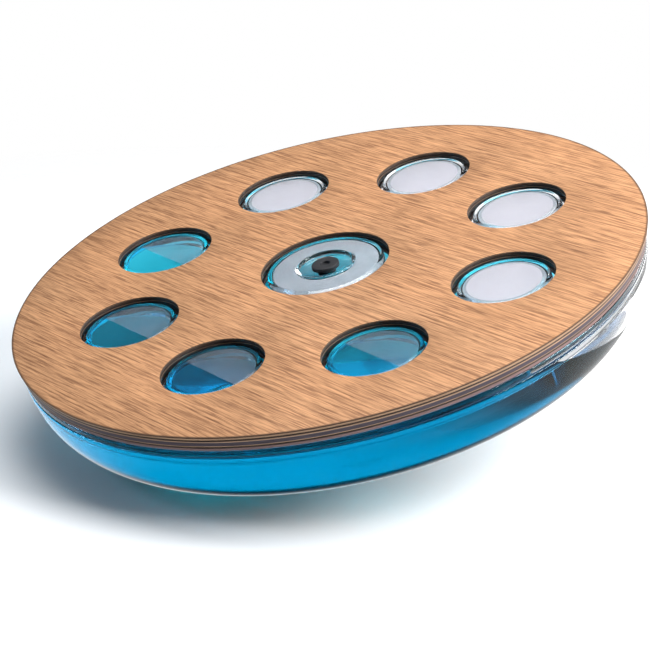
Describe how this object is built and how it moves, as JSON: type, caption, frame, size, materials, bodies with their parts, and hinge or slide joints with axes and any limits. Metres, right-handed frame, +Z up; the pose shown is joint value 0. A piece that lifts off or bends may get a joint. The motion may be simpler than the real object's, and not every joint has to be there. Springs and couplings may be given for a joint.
{
  "type": "water-filled balance board",
  "caption": "Round plywood balance board on a clear domed tank of blue water, with a ring of windows round a centre filler well and its lift-out stopper.",
  "frame": {"origin": "middle of the small flat foot under the dome, which is the bottom centre of the bounding box", "axes": "+Z up, square to the deck, out of its top face; +X points to the middle of one window, and the next window lies 45 degrees round towards +Y"},
  "size_m": [0.53, 0.53, 0.1255],
  "materials": {
    "oak": "satin clear lacquer over straight-grained oak veneer",
    "pale_ply": "sanded and lacquered plywood edge",
    "dark_ply": "sanded and lacquered plywood edge",
    "core_ply": "sanded and lacquered plywood edge",
    "bond_film": "translucent adhesive film",
    "clear_plastic": "clear polished moulding",
    "gasket": "smooth dark blue elastomer",
    "tinted_water": "blue-tinted water, stands in as a clear gloss material",
    "stopper_rubber": "matt black moulded rubber"
  },
  "bodies": {
    "board": {"oak_face_veneer": "oak", "upper_long_ply": "pale_ply", "upper_cross_ply": "dark_ply", "core_ply": "core_ply", "lower_cross_ply": "dark_ply", "lower_long_ply": "pale_ply", "backing_veneer": "pale_ply", "rim_bond_ring": "bond_film", "centre_bond_ring": "bond_film", "tank_lid": "clear_plastic", "seam_gasket": "gasket", "tank_dome": "clear_plastic", "water_fill": "tinted_water"},
    "stopper": {"filler_plug": "stopper_rubber"}
  },
  "joints": [
    {"name": "stopper_lift", "type": "slide", "parent": "board", "child": "stopper", "axis": [0, 0, 1], "range_m": [0, 0.03]}
  ]
}
